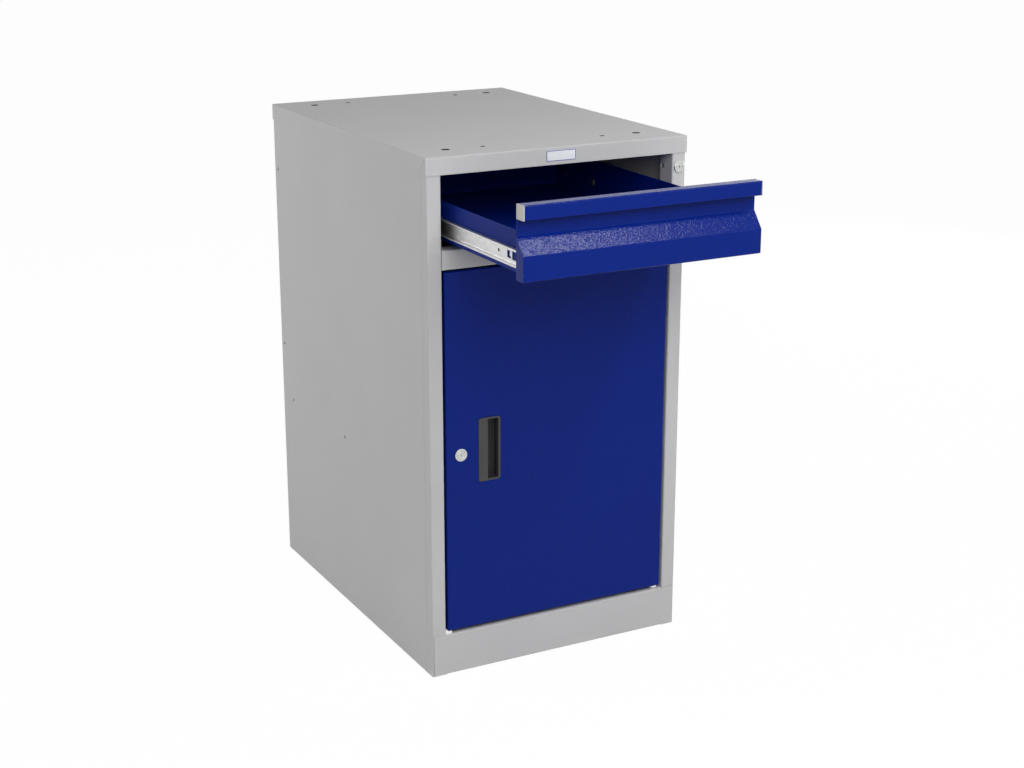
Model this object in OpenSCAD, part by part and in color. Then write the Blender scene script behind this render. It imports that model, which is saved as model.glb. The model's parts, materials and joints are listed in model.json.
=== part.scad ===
// Tool drawer cabinet: a folded steel carcass with one ball-bearing drawer over a hinged door.
// Millimetres. +X is to the right, +Y to the back, +Z up.
// The origin is on the floor, under the middle of the carcass.

/* [Carcass] */
// Width over the top cover
carcass_w = 450; // [420:1:600]
// Depth over the top cover
carcass_d = 620; // [560:1:760]
// Height from the floor to the top cover
carcass_h = 825; // [740:1:950]
// Thickness of the carcass sheet
sheet = 1.2; // [0.8:0.1:1.5]
// Inside radius of every fold
fold_r = 1.2; // [0.6:0.1:1.8]
// Chords that draw one fold
fold_n = 4; // [2:1:8]
// Width of the open seams between sheets
seam = 0.4; // [0.2:0.1:0.8]
// Height of the top cover's flange
lid_flange = 27; // [20:1:40]
// Width of the open mitres in the top cover's side flanges
mitre_gap = 0.8; // [0.3:0.1:1.2]
// Width of each front post's face
post_face = 25; // [24:0.5:32]
// How far each front post wraps round the side
post_side = 20; // [16:1:30]
// Depth of each front post's inner return
post_return = 24.4; // [23:0.2:30]
// Width of the flanges at the back and top of the side panels
panel_flange = 18; // [10:1:20]
// Height of the rail between drawer and door
rail_h = 30.5; // [22:0.5:50]
// Height of the lips on the rails
rail_lip = 9; // [5:0.5:11]
// Height of the plinth
plinth_h = 68; // [55:1:120]
// How far the plinth's edge stays above the floor
plinth_lift = 0.5; // [0.5:0.5:5]
// How far the plinth's ends stay inside the posts' outer faces
plinth_inset = 2.8; // [1:0.2:8]
// Height of the base frame
base_h = 40; // [25:1:50]
// Width of the base frame's floor lip
base_lip = 25; // [12:1:40]
// Thickness of the base frame's sheet
base_sheet = 1.5; // [1.2:0.1:3]

/* [Top and side holes] */
// Distance across the outer pair of top holes
top_outer_pitch = 332; // [260:1:350]
// Distance across the inner pair of top holes
top_inner_pitch = 208; // [120:1:230]
// Distance from the front to the back row of top holes
top_row_pitch = 515; // [400:1:530]
// How far the rows' middle lies behind the carcass's middle
top_row_shift = 2.5; // [-5:0.5:5]
// Radius of the outer top holes
top_outer_r = 6.5; // [4:0.1:8]
// Radius of the inner top holes
top_inner_r = 4; // [2:0.1:5]
// Height of the lower fixing hole in each side
side_hole_z = 398; // [320:1:420]
// Distance from the lower to the upper fixing hole
side_hole_pitch = 315; // [200:1:330]
// How far the fixing holes are in front of the back
side_hole_in = 14; // [8:0.5:16]
// Radius of the fixing holes
side_hole_r = 2.5; // [2:0.1:4]

/* [Name plate] */
// Width of the blank plate
plate_w = 50; // [30:1:80]
// Height of the blank plate
plate_h = 15.6; // [10:0.2:18]
// Thickness of the blank plate
plate_t = 0.8; // [0.5:0.1:2]
// Corner radius of the blank plate
plate_r = 2; // [1:0.1:4]

/* [Shelf] */
// Height of the shelf pegs' centres
shelf_z = 300; // [160:1:315]
// Depth of the shelf
shelf_d = 290; // [150:1:400]
// Height of the shelf's front and back flanges
shelf_flange = 24; // [12:1:40]
// Gap between the shelf and the back panel
shelf_back_gap = 12; // [2:1:40]
// Gap between the shelf and each side panel
shelf_side_gap = 1; // [0.5:0.5:3]
// How far the front pegs are behind the shelf's front
peg_front_in = 22; // [12:1:60]
// How far the rear pegs are in front of the shelf's back
peg_rear_in = 32.5; // [12:0.5:60]
// Radius of a peg
peg_r = 2.5; // [2:0.1:4]
// How far a peg reaches into the cupboard
peg_reach = 12; // [6:1:20]
// How much wider a peg's collar is than the peg, at each side
peg_collar = 1.6; // [1:0.1:3]
// How far a peg's end lies behind the panel's outer face
peg_sunk = 0.4; // [0.1:0.1:0.6]

/* [Drawer] */
// How far the drawer stands open
drawer_open = 245; // [0:1:330]
// Height of the drawer bay, from the rail to the top cover's flange
drawer_bay_h = 112.5; // [104:0.5:150]
// Gap beside the drawer front
front_gap = 4; // [2:0.5:6]
// Gap above the drawer front
front_gap_top = 2; // [1:0.5:4]
// Gap under the drawer front
front_gap_bottom = 3.5; // [2:0.5:6]
// Depth of the drawer front
front_depth = 20.8; // [18:0.2:24]
// Height of the grip bar
grip_h = 21.5; // [18:0.5:26]
// Height of the finger recess under the grip bar
recess_h = 24; // [18:1:28]
// Height of the slope under the recess
slope_h = 25; // [14:1:26]
// Thickness of the drawer's sheet
tray_sheet = 1; // [0.8:0.1:1.4]
// Height of the drawer's sides
tray_h = 60; // [52:1:70]
// Gap between the tray's bottom and the rail's top
tray_lift = 9.5; // [4:0.5:11]
// Gap between the drawer's back and the back panel when closed
tray_rear_gap = 25.5; // [10:0.5:60]
// Thickness of the grip bar's end caps
cap_t = 2; // [1.2:0.1:4]
// Length of the plugs on the end caps
cap_plug = 9; // [4:1:16]

/* [Slides] */
// Thickness of a slide, from the tray to the post's inner face
slide_t = 12.7; // [12.5:0.1:13.5]
// Play between a slide and the tray
slide_play = 0.3; // [0.1:0.1:0.6]
// Height of a slide's outer channel
slide_h = 35; // [33:0.5:37]
// Thickness of the slide's sheet
slide_sheet = 1.2; // [1:0.1:1.3]
// Height of the slides' centre above the tray's bottom
slide_up = 23; // [19.5:0.5:23]
// How much shorter a slide is than the tray
slide_short = 20; // [10:1:40]
// Length that stays in the channel when the drawer is fully open
slide_overlap = 151; // [145:1:200]
// Diameter of the balls
ball_d = 3.5; // [3.2:0.1:3.8]
// Clearance between a ball and its tracks
ball_gap = 0.15; // [0.08:0.01:0.2]
// Number of balls in a row
ball_n = 8; // [5:1:8]
// Distance between balls
ball_pitch = 18; // [12:1:18]
// Thickness of the ball cage
cage_sheet = 0.8; // [0.5:0.1:0.9]
// Length of a hook slot in the drawer's side
hook_slot_l = 20; // [16:1:28]
// Height of a hook slot in the drawer's side
hook_slot_h = 14; // [13:0.5:16]
// Distance from the front of the slide to the front hook
hook_front = 33; // [26:1:60]
// Distance from the front of the slide to the rear hook
hook_rear = 447; // [300:1:455]
// Radius of the rivets that hold the slides
rivet_r = 2; // [1.5:0.1:2.4]
// Radius of the rivet heads
rivet_head_r = 4; // [3.2:0.1:4.5]
// Thickness of the rivet heads
rivet_head_t = 0.9; // [0.6:0.1:1]

/* [Drawer lock] */
// How far the lock's centre is below the top cover's flange
dlock_down = 21.5; // [20:0.5:26]
// Radius of the lock's face
dlock_face_r = 9.3; // [8.6:0.1:10]
// How far the lock's face stands out
dlock_proud = 2.5; // [1:0.1:4]
// Radius of the lock's barrel
dlock_r = 7.9; // [7:0.1:8]
// Length of the lock's barrel
dlock_barrel = 18.8; // [16:0.2:19]
// Radius of the lock's plug
dlock_plug_r = 5.5; // [4.5:0.1:6]
// Radius at which the crank pin turns
crank_r = 6; // [5.6:0.1:6]
// Radius of the crank pin
crank_pin_r = 1.5; // [1:0.1:1.5]
// Height of the bolt's nose
bolt_h = 6; // [4:0.5:7]
// Thickness of the strike on the drawer
strike_t = 1.5; // [1:0.1:2]

/* [Door] */
// Gap beside the door
door_gap = 4; // [3:0.5:6]
// Gap above the door
door_gap_top = 3; // [2.6:0.1:5]
// Gap under the door
door_gap_bottom = 5; // [3:0.5:6]
// How far the door's face lies behind the posts' faces
door_recess = 0.5; // [0.2:0.1:1]
// Depth of the door
door_d = 20; // [18:0.5:20]
// Thickness of the door's sheet
door_sheet = 1; // [0.8:0.1:1.5]
// Width of the lips at the door's sides
door_lip = 12; // [6:0.5:15]
// Distance from the door's edge to the hinge line
hinge_in = 9; // [8.5:0.1:10]
// Distance from the door's face to the hinge line
hinge_back = 8.8; // [8:0.1:9.5]
// Radius of the hinge pins
pin_r = 3; // [2:0.1:3.2]
// Length of the hinge pins
pin_l = 14; // [10:0.5:20]
// Thickness of the hinge plates
hinge_plate_t = 1.5; // [1:0.1:1.8]
// Radial clearance of turning parts
run_gap = 0.05; // [0.03:0.01:0.08]
// Clearance between parts that pass each other
pass_gap = 0.3; // [0.2:0.05:0.5]
// Width of the door's stiffener
stiffener_w = 40; // [20:1:60]
// How far the stiffener stands to the right of the door's middle
stiffener_x = 30; // [-10:1:80]

/* [Door handle] */
// Width of the handle's rim
handle_w = 38; // [34:1:46]
// Height of the handle's rim
handle_h = 103; // [80:1:130]
// Distance from the door's free edge to the handle's middle
handle_in = 74; // [70:1:100]
// How far the handle is above the door's middle
handle_up = 2.5; // [0:0.5:10]
// How far the rim stands out of the door
handle_proud = 1.7; // [1:0.1:3]
// Depth of the handle's cup behind the door's face
handle_cup_d = 15; // [10:0.5:16]
// Width of the handle's mouth
mouth_w = 18; // [15:0.5:22]
// Width of the narrow strip right of the mouth
mouth_in = 4; // [3:0.5:6]
// Wall of the handle
handle_wall = 1.6; // [1.2:0.1:2]

/* [Door lock] */
// Distance from the door's free edge to the lock
lock_in = 25.2; // [24:0.1:30]
// Radius of the lock's face
lock_face_r = 10.2; // [9.6:0.1:11]
// How far the lock's face stands out
lock_proud = 1.5; // [0.8:0.1:3]
// Radius of the lock's barrel
lock_r = 9; // [8:0.1:9.4]
// Radius of the lock's plug
lock_plug_r = 6; // [5:0.1:7]
// Distance from the plug to the cam's tip
cam_reach = 36; // [33:1:40]
// Width of the cam
cam_w = 14; // [12:1:18]
// Thickness of the cam
cam_t = 2.2; // [1.5:0.1:3]

/* [Hidden] */

grey = [0.70, 0.70, 0.71];
blue = [0.08, 0.13, 0.45];
zinc = [0.78, 0.79, 0.80];
chrome = [0.85, 0.86, 0.86];
black = [0.12, 0.12, 0.12];
white = [0.92, 0.92, 0.90];
$fn = 48;
cut = 1;

// Carcass planes
body_x = carcass_w / 2 - sheet;
inner_x = body_x - sheet;
front_y = -carcass_d / 2;
body_y0 = front_y + sheet;
body_y1 = carcass_d / 2 - sheet;
back_y = body_y1 - 2 * sheet;
under_lid = carcass_h - sheet;
lid_z = carcass_h - lid_flange;
open_x = carcass_w / 2 - post_face;
return_y = body_y0 + post_return;
panel_y = body_y0 + post_side + seam;
joggle = 13;
rail_top = lid_z - drawer_bay_h;
rail_bot = rail_top - rail_h;
top_rail_d = 20;
top_rail_z = lid_z + 1;
rear_rail_h = 30;
rear_rail_foot = 24;
collar_t = 0.8 * shelf_side_gap;

// Uprights
upright_y0 = return_y + 0.2;
upright_face = 11.6;
upright_y1 = upright_y0 + upright_face;
upright_foot = 15;
upright_rear_face = 24;
rivet_setback = 6;

// Drawer, placed as when closed
front_x = open_x - front_gap;
front_z0 = rail_top + front_gap_bottom;
front_z1 = lid_z - front_gap_top;
grip_z = front_z1 - grip_h;
recess_z = grip_z - recess_h;
slope_z = recess_z - slope_h;
tray_y0 = front_y + front_depth;
tray_y1 = back_y - tray_rear_gap;
tray_x = open_x - slide_t - slide_play;
tray_z = rail_top + tray_lift;
tray_top = tray_z + tray_h;
recess_y = tray_y0 - tray_sheet;
front_lip_h = 14;
back_wing = 14;
front_rivet_x = 0.8 * front_x;
front_rivet_z = tray_z + 5.2;

// Slides
slide_y0 = tray_y0 + 2;
slide_l = tray_y1 - tray_y0 - slide_short;
slide_z = tray_z + slide_up;
slide_travel = slide_l - slide_overlap;
channel_lip = 9.5;
runner_h = slide_h - 2 * slide_sheet - 2 * (ball_d + 2 * ball_gap);
runner_lip = 8.4;
ball_z = runner_h / 2 + ball_gap + ball_d / 2;
ball_x = open_x - 6.7;
cage_l = (ball_n - 1) * ball_pitch + 14;
cage_x = open_x - 2.7;
cage_arm = 6.2;
cage_hole_r = ball_d / 2 + 0.1;
cage_y = slide_y0 + slide_overlap / 2 + slide_travel / 2;
rear_rivet_y = slide_y0 + slide_l - 19;
runner_hole_y = slide_y0 + 64;
runner_hole_r = 2.5;
hook_l = 12;
hook_h = 10.5;
hook_t = 1.2;
hook_side = 1.5;
hook_gap = 0.2;
hook_short = 3;
notch_l = 24;
notch_half = 6;
rivet_back_r = rivet_head_r - 0.5;

// Drawer lock
dlock_x = (open_x + sheet + inner_x) / 2;
dlock_z = lid_z - dlock_down;
dlock_end = body_y0 + dlock_barrel;
crank_lead = crank_r * sin(45);
disc_t = 2.2;
face_bevel = 0.6;
housing_wall = 1;
disc_y = dlock_end + housing_wall + pass_gap;
disc_r = crank_r + crank_pin_r + 0.1;
housing_x = 8.9;
housing_y1 = upright_y1 - sheet - pass_gap;
housing_z = disc_r + 1.4;
bolt_y0 = upright_y0 + pass_gap;
bolt_y1 = housing_y1 - housing_wall - pass_gap;
bolt_low = 4.5;
crank_pin_in = 5;
bolt_tail_z0 = -crank_r - crank_pin_r - 0.7;
bolt_tail_z1 = 3;
bolt_tip = open_x + sheet + 2 * pass_gap;
bolt_slot_w = 2 * crank_pin_r + 2 * pass_gap;
tail_x0 = bolt_tip + 2 * crank_lead;
tail_x1 = dlock_x + crank_lead + crank_pin_r + pass_gap + 1.6;
strike_x = front_x + 0.5;
strike_foot = 24;
strike_arm = 8;
strike_over = 3;
strike_z0 = slide_z + slide_h / 2 + 2;
dlock_nut_w = 2 * dlock_r + 3.2;

// Door
door_x = open_x - door_gap;
door_z0 = plinth_h + door_gap_bottom;
door_z1 = rail_bot - door_gap_top;
door_mid = (door_z0 + door_z1) / 2;
door_y0 = body_y0 + door_recess;
door_y1 = door_y0 + door_d;
door_in = door_y0 + door_sheet;
hinge_x = door_x - hinge_in;
hinge_y = door_y0 + hinge_back;
bush_r = pin_r + 1.5;
bush_flange_r = pin_r + 4;
bush_l = 5;
plate_half = 8.5;
plate_front = 6;
plate_rear = 12;
stiffener_short = 6;
stop_z = [plinth_h + 80, rail_bot - 60];
stop_h = 24;
stop_t = 1.5;
buffer_t = 2;
buffer_r = 3;
buffer_in = 3.2;
glide_w = 11;
glide_h = 6.6;
glide_y1 = body_y0 + 14;

// Door handle
handle_x = -door_x + handle_in;
handle_z = door_mid + handle_up;
handle_gap = 0.2;
handle_flange = 1.5;
rim_r = 4.8;
rim_edge = 1;
rim_chamfer = 0.7;

// Door lock
lock_x = -door_x + lock_in;
lock_end = return_y - 1.6;
cam_y0 = return_y + 0.4;
cam_y1 = cam_y0 + cam_t;
tail_half = 3;
nut_t = 3;
lock_nut_w = 2 * lock_r + 4;
cam_screw_t = 3;
cam_screw_w = 8;
plug_sunk = 0.3;
key_w = 1.3;
key_h = 7;
key_depth = 4;

// Unit vector along v
function unit(v) = v / norm(v);

// Normal on the left of the way from a to b
function left_of(a, b) = let (u = unit(b - a)) [-u[1], u[0]];

// Positive where the way turns left from u to v
function turn(u, v) = u[0] * v[1] - u[1] * v[0];

// Points of the arc of radius r that rounds the corner b between a and c
function arc(a, b, c, r) =
    let (
        u = unit(a - b),
        v = unit(c - b),
        half = acos(u * v) / 2,
        centre = b + unit(u + v) * r / sin(half),
        start = b + u * r / tan(half) - centre,
        from = atan2(start[1], start[0]),
        sweep = (180 - 2 * half) * sign(turn(b - a, c - b))
    )
    [for (i = [0 : fold_n]) centre + r * [cos(from + sweep * i / fold_n), sin(from + sweep * i / fold_n)]];

// The path with each corner rounded as a sheet of thickness t folds, t on the path's left
function softened(path, t) =
    let (last = len(path) - 1)
    [for (i = [0 : last]) each (i == 0 || i == last) ? [path[i]] :
        arc(path[i - 1], path[i], path[i + 1],
            turn(path[i] - path[i - 1], path[i + 1] - path[i]) > 0 ? fold_r + t : fold_r)];

// Point i of the path, moved left by t
function moved(p, i, t) =
    let (last = len(p) - 1)
    i == 0 ? p[0] + t * left_of(p[0], p[1]) :
    i == last ? p[i] + t * left_of(p[i - 1], p[i]) :
    let (m = left_of(p[i - 1], p[i]), n = left_of(p[i], p[i + 1])) p[i] + t * (m + n) / (1 + m * n);

// Section of a folded sheet: the path is one face, the thickness t lies on its left
module folded(path, t) {
    p = softened(path, t);
    polygon(concat(p, [for (i = [len(p) - 1 : -1 : 0]) moved(p, i, t)]));
}

// Box between two corners
module block(low, high) {
    translate(low) cube(high - low);
}

// Extrude a section drawn in X and Y
module along_z(z0, z1) {
    translate([0, 0, z0]) linear_extrude(z1 - z0) children();
}

// Extrude a section drawn in Y and Z
module along_x(x0, x1) {
    translate([x0, 0, 0]) rotate([90, 0, 90]) linear_extrude(x1 - x0) children();
}

// Extrude a section drawn in X and Z
module along_y(y0, y1) {
    translate([0, y1, 0]) rotate([90, 0, 0]) linear_extrude(y1 - y0) children();
}

// Round bars along each axis
module rod_x(y, z, x0, x1, r) {
    translate([x0, y, z]) rotate([0, 90, 0]) cylinder(h = x1 - x0, r = r);
}

module rod_y(x, z, y0, y1, r) {
    translate([x, y1, z]) rotate([90, 0, 0]) cylinder(h = y1 - y0, r = r);
}

// Disc along Y whose front edge is bevelled
module bevelled_y(x, z, y0, y1, r, bevel) {
    rod_y(x, z, y0 + bevel, y1, r);
    translate([x, y0 + bevel, z]) rotate([90, 0, 0]) cylinder(h = bevel, r1 = r, r2 = r - bevel);
}

module rod_z(x, y, z0, z1, r) {
    translate([x, y, z0]) cylinder(h = z1 - z0, r = r);
}

// Six-sided bar along Y, with flats towards both sides and size across the flats
module hex_y(x, z, y0, y1, flats) {
    translate([x, y1, z]) rotate([90, 30, 0]) cylinder(h = y1 - y0, r = flats / 2 / cos(30), $fn = 6);
}

// Rectangle that stands on the line v = 0, with its two top corners rounded
module crowned(w, h, r) {
    polygon(concat(
        [[-w / 2, 0]],
        arc([-w / 2, 0], [-w / 2, h], [w / 2, h], r),
        arc([-w / 2, h], [w / 2, h], [w / 2, 0], r),
        [[w / 2, 0]]));
}

// Folded pan, open at the bottom
module pan(w, d, h, t) {
    difference() {
        intersection() {
            along_x(-w / 2, w / 2) crowned(d, h, fold_r + t);
            along_y(-d / 2, d / 2) crowned(w, h, fold_r + t);
        }
        translate([0, 0, -cut]) intersection() {
            along_x(-w / 2 + t, w / 2 - t) crowned(d - 2 * t, h + cut - t, fold_r);
            along_y(-d / 2 + t, d / 2 - t) crowned(w - 2 * t, h + cut - t, fold_r);
        }
    }
}

// Shapes are drawn for the right side; the left one is their mirror image
module on_side(side) {
    if (side == "right") children();
    else mirror([1, 0, 0]) children();
}

// Moves what slides with the drawer from closed to the resting pose
module opened(share) {
    translate([0, -drawer_open * share, 0]) children();
}

module top_cover() {
    rows = [top_row_shift - top_row_pitch / 2, top_row_shift + top_row_pitch / 2];
    ear = post_side + sheet;
    color(grey) difference() {
        translate([0, 0, lid_z]) pan(carcass_w, carcass_d, lid_flange, sheet);
        for (y = rows, s = [-1, 1]) {
            rod_z(s * top_outer_pitch / 2, y, under_lid - cut, carcass_h + cut, top_outer_r);
            rod_z(s * top_inner_pitch / 2, y, under_lid - cut, carcass_h + cut, top_inner_r);
        }
        // Open mitre where the front flange's ear meets the side flange
        for (s = [-1, 1]) lid_seam(s * body_x, ear);
    }
}

// Slit through the side flange: down the mitre from the top corner, then straight down
module lid_seam(x, ear) {
    top = carcass_h - sheet - fold_r;
    low = carcass_h - ear;
    along_x(x - 2 * sheet, x + 2 * sheet) {
        polygon([
            [front_y + carcass_h - top, top],
            [front_y + carcass_h - top + mitre_gap, top],
            [front_y + ear + mitre_gap, low],
            [front_y + ear + mitre_gap, lid_z - cut],
            [front_y + ear, lid_z - cut],
            [front_y + ear, low]]);
    }
}

// Space inside the top cover, rounded at the top where the cover folds
module under_cover() {
    intersection() {
        along_x(-body_x, body_x) crowned(2 * body_y1, under_lid, fold_r + sheet);
        along_y(-body_y1, body_y1) crowned(2 * body_x, under_lid, fold_r + sheet);
    }
}

module side_panel(side) {
    step_y = panel_y + sheet;
    color(grey) on_side(side) difference() {
        intersection() {
            union() {
                block([inner_x, panel_y, 0], [body_x, body_y1, under_lid]);
                block([inner_x - sheet, panel_y, 0], [body_x, step_y, under_lid - sheet]);
                block([inner_x - sheet, panel_y - joggle, 0], [inner_x, step_y, under_lid - sheet]);
                block([body_x - panel_flange, body_y1 - sheet, 0], [body_x, body_y1, under_lid]);
                block([body_x - panel_flange, step_y + seam, under_lid - sheet],
                    [body_x, body_y1, under_lid]);
            }
            under_cover();
        }
        for (z = [side_hole_z, side_hole_z + side_hole_pitch])
            rod_x(carcass_d / 2 - side_hole_in, z, inner_x - cut, body_x + cut, side_hole_r);
        for (y = peg_ys()) rod_x(y, shelf_z, inner_x - cut, body_x + cut, peg_r + run_gap);
    }
}

module side_panel_left() {
    side_panel("left");
}

module side_panel_right() {
    side_panel("right");
}

module back_panel() {
    color(grey) block([-inner_x, back_y, 0], [inner_x, back_y + sheet, under_lid - sheet]);
}

module post(side) {
    color(grey) on_side(side) along_z(0, under_lid - sheet) folded([
        [open_x, return_y],
        [open_x, body_y0],
        [body_x, body_y0],
        [body_x, body_y0 + post_side]], sheet);
}

module post_left() {
    post("left");
}

module post_right() {
    difference() {
        post("right");
        rod_y(dlock_x, dlock_z, body_y0 - cut, body_y0 + sheet + cut, dlock_r + pass_gap / 2);
    }
}

module top_rail() {
    color(grey) along_x(-open_x, open_x) folded([
        [body_y0, under_lid - sheet],
        [body_y0, top_rail_z],
        [body_y0 + top_rail_d, top_rail_z],
        [body_y0 + top_rail_d, top_rail_z + rail_lip]], sheet);
}

module rear_rail() {
    z = under_lid - sheet;
    x = body_x - panel_flange - seam;
    color(grey) along_x(-x, x) folded([
        [back_y, z - rear_rail_h],
        [back_y, z],
        [back_y - rear_rail_foot, z]], sheet);
}

module middle_rail() {
    color(grey) along_x(-open_x, open_x) folded([
        [return_y, rail_top - rail_lip],
        [return_y, rail_top],
        [body_y0, rail_top],
        [body_y0, rail_bot],
        [return_y, rail_bot],
        [return_y, rail_bot + rail_lip]], sheet);
}

module plinth() {
    end_x = body_x - plinth_inset;
    color(grey) {
        along_x(-open_x, open_x) folded([
            [return_y, plinth_h],
            [front_y, plinth_h],
            [front_y, plinth_lift],
            [front_y + rail_lip + sheet, plinth_lift]], sheet);
        for (side = ["left", "right"]) on_side(side)
            block([open_x, front_y, plinth_lift], [end_x, body_y0, plinth_h]);
    }
}

module bottom_panel() {
    color(grey) along_y(return_y + seam, back_y) folded([
        [inner_x, base_h],
        [inner_x, plinth_h],
        [-inner_x, plinth_h],
        [-inner_x, base_h]], sheet);
}

module base_frame() {
    y0 = return_y + seam;
    color(grey) difference() {
        block([-inner_x, y0, 0], [inner_x, back_y, base_h]);
        block([base_sheet - inner_x, y0 + base_sheet, base_sheet],
            [inner_x - base_sheet, back_y - base_sheet, base_h + cut]);
        block([base_lip - inner_x, y0 + base_lip, -cut], [inner_x - base_lip, back_y - base_lip, base_h]);
    }
}

// Shelf
function shelf_y1() = back_y - shelf_back_gap;
function shelf_y0() = shelf_y1() - shelf_d;
function peg_ys() = [shelf_y0() + peg_front_in, shelf_y1() - peg_rear_in];

module shelf() {
    x = inner_x - shelf_side_gap;
    top = shelf_z + peg_r + sheet;
    color(grey) along_x(-x, x) folded([
        [shelf_y1() - rail_lip, top - shelf_flange],
        [shelf_y1(), top - shelf_flange],
        [shelf_y1(), top],
        [shelf_y0(), top],
        [shelf_y0(), top - shelf_flange],
        [shelf_y0() + rail_lip, top - shelf_flange]], sheet);
}

// Pegs pressed through the side panels, each with a collar against the panel's inner face
module shelf_pegs() {
    color(zinc) for (side = ["left", "right"], y = peg_ys()) on_side(side) {
        rod_x(y, shelf_z, inner_x - peg_reach, body_x - peg_sunk, peg_r);
        rod_x(y, shelf_z, inner_x - collar_t, inner_x, peg_r + peg_collar);
    }
}

// Blank plate on the top cover's front flange
module name_plate() {
    z = carcass_h - lid_flange / 2;
    color(white) hull() for (sx = [-1, 1], sz = [-1, 1])
        translate([sx * (plate_w / 2 - plate_r), front_y, z + sz * (plate_h / 2 - plate_r)])
            rotate([90, 0, 0]) cylinder(h = plate_t, r = plate_r, $fn = 24);
}

// Folded upright behind each post that brings a flat face out to the slides
module upright(side, y0, y1) {
    color(grey) on_side(side) along_z(rail_bot, under_lid - sheet) folded([
        [inner_x - sheet, y1 + upright_foot],
        [inner_x - sheet, y1],
        [open_x, y1],
        [open_x, y0]], sheet);
}

// Rivet holes where the channels are fixed, for both ends of a slide
function rivet_ys() = [upright_y0 + rivet_setback, rear_rivet_y];

module rivet_holes(x0, x1) {
    for (y = rivet_ys()) rod_x(y, slide_z, x0 - cut, x1 + cut, rivet_r + run_gap);
}

module front_upright_left() {
    difference() {
        upright("left", upright_y0, upright_y1);
        mirror([1, 0, 0]) rivet_holes(open_x, open_x + sheet);
    }
}

module front_upright_right() {
    low = dlock_z - bolt_low - 2 * pass_gap;
    difference() {
        upright("right", upright_y0, upright_y1);
        rivet_holes(open_x, open_x + sheet);
        block([open_x - cut, upright_y0 - cut, low],
            [open_x + sheet + cut, bolt_y1 + pass_gap, low + bolt_h + 4 * pass_gap]);
    }
}

module rear_upright(side) {
    y0 = rear_rivet_y - upright_rear_face / 2;
    difference() {
        upright(side, y0, y0 + upright_rear_face);
        on_side(side) rivet_holes(open_x, open_x + sheet);
    }
}

module rear_upright_left() {
    rear_upright("left");
}

module rear_upright_right() {
    rear_upright("right");
}

module slide_channel(side) {
    color(zinc) on_side(side) difference() {
        translate([0, 0, slide_z]) along_y(slide_y0, slide_y0 + slide_l) folded([
            [open_x - channel_lip, -slide_h / 2],
            [open_x, -slide_h / 2],
            [open_x, slide_h / 2],
            [open_x - channel_lip, slide_h / 2]], slide_sheet);
        rivet_holes(open_x - slide_sheet, open_x);
    }
}

module slide_channel_left() {
    slide_channel("left");
}

module slide_channel_right() {
    slide_channel("right");
}

// Flat-headed rivets through each channel and upright
module slide_rivets() {
    inside = open_x - slide_sheet;
    outside = open_x + sheet;
    color(zinc) for (side = ["left", "right"], y = rivet_ys()) on_side(side) {
        rod_x(y, slide_z, inside - rivet_head_t, inside, rivet_head_r);
        rod_x(y, slide_z, inside - rivet_head_t, outside + rivet_head_t, rivet_r);
        rod_x(y, slide_z, outside, outside + rivet_head_t, rivet_back_r);
    }
}

// Lock in the right post, with the housing that guides its bolt
module drawer_lock_body() {
    bore = dlock_plug_r + run_gap;
    cavity_y = disc_y + disc_t + pass_gap;
    color(chrome) translate([dlock_x, 0, dlock_z]) difference() {
        union() {
            bevelled_y(0, 0, body_y0 - dlock_proud, body_y0, dlock_face_r, face_bevel);
            rod_y(0, 0, body_y0, dlock_end, dlock_r);
            block([-housing_x, dlock_end, -housing_z], [housing_x, housing_y1, housing_z]);
        }
        rod_y(0, 0, body_y0 - dlock_proud - cut, disc_y, bore);
        rod_y(0, 0, disc_y - pass_gap, cavity_y, disc_r + pass_gap);
        block([-housing_x - cut, bolt_y0 - pass_gap, bolt_tail_z0 - pass_gap],
            [tail_x1 - dlock_x + pass_gap, bolt_y1 + pass_gap, bolt_tail_z1 + pass_gap]);
        block([-crank_lead - crank_pin_r - pass_gap, cavity_y - cut / 2, bolt_tail_z0 - pass_gap],
            [crank_lead + crank_pin_r + pass_gap, bolt_y0 + cut, crank_pin_r - crank_lead + pass_gap]);
    }
}

module drawer_lock_nut() {
    y = body_y0 + sheet;
    color(zinc) difference() {
        hex_y(dlock_x, dlock_z, y, y + nut_t, dlock_nut_w);
        rod_y(dlock_x, dlock_z, y - cut, y + nut_t + cut, dlock_r + run_gap);
    }
}

// Plate with the pin that the door turns on; end is 1 at the top and -1 at the bottom
module hinge_plate(z, end) {
    top = z - end * hinge_plate_t;
    tip = top - end * pin_l;
    color(zinc) {
        block([hinge_x - plate_half, hinge_y - plate_front, min(z, top)],
            [hinge_x + plate_half, hinge_y + plate_rear, max(z, top)]);
        rod_z(hinge_x, hinge_y, min(top, tip), max(top, tip), pin_r);
    }
}

module hinge_plate_lower() {
    hinge_plate(plinth_h, -1);
}

module hinge_plate_upper() {
    hinge_plate(rail_bot, 1);
}

// Glide that the door's free corner runs up on
module door_glide() {
    x = -open_x;
    y = body_y0 + fold_r;
    color(white) {
        block([x, y, plinth_h], [x + glide_w, glide_y1, door_z0 - pass_gap]);
        block([x, y, plinth_h], [x + door_gap - pass_gap, glide_y1, plinth_h + glide_h]);
    }
}

// Tabs behind the door's free edge, and the pads that it closes on
module door_stops() {
    y = door_y1 + pass_gap + buffer_t;
    color(grey) for (z = stop_z)
        block([-open_x, y, z], [-open_x + glide_w, y + stop_t, z + stop_h]);
}

module door_buffers() {
    y = door_y1 + pass_gap;
    color(black) for (z = stop_z)
        rod_y(-door_x + buffer_in, z + stop_h / 2, y, y + buffer_t, buffer_r);
}

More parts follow.
